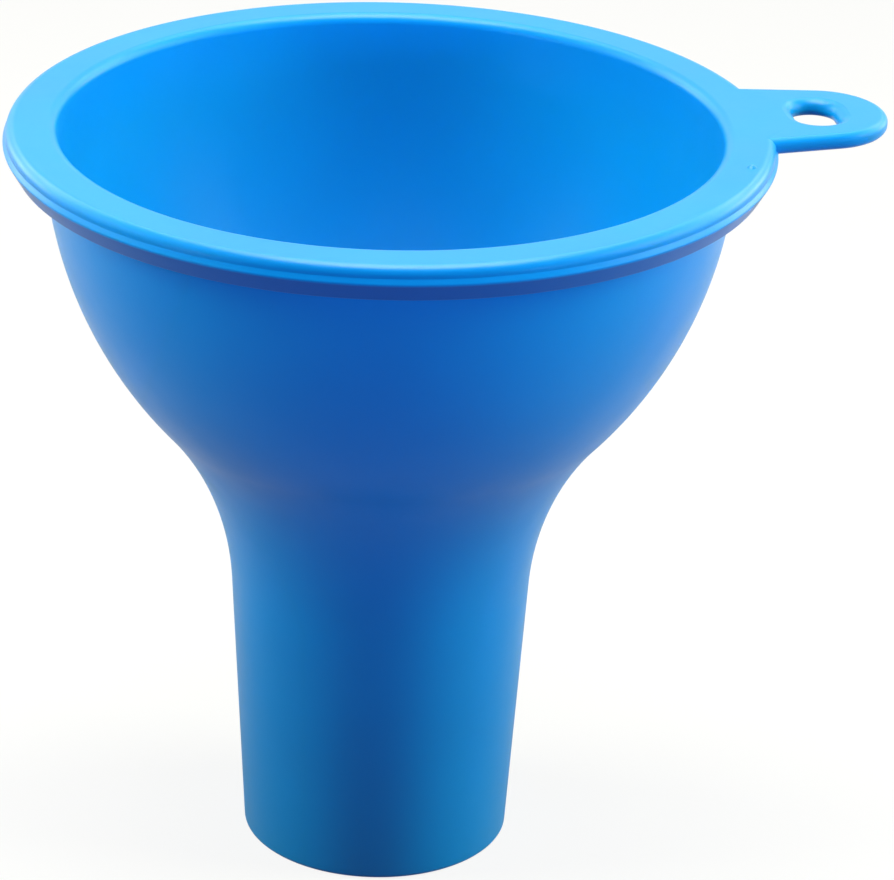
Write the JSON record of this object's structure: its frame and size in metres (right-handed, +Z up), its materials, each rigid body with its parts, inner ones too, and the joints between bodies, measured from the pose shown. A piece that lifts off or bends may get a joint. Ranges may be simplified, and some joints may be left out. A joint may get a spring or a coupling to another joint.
{
  "type": "canning funnel",
  "caption": "Wide-mouth canning funnel: a round bowl with a flat rim and a hang tab, drawn in through a curved neck to a tapered spout for filling jars.",
  "frame": {"origin": "centre of the spout's open end", "axes": "+Z up along the funnel's axis from the spout to the rim, +X from the axis towards the hang tab"},
  "size_m": [0.156, 0.135, 0.137],
  "materials": {
    "silicone": "satin"
  },
  "bodies": {
    "root": {"rim_flange": "silicone", "hang_tab": "silicone", "bowl": "silicone", "neck": "silicone", "spout": "silicone"}
  },
  "joints": []
}
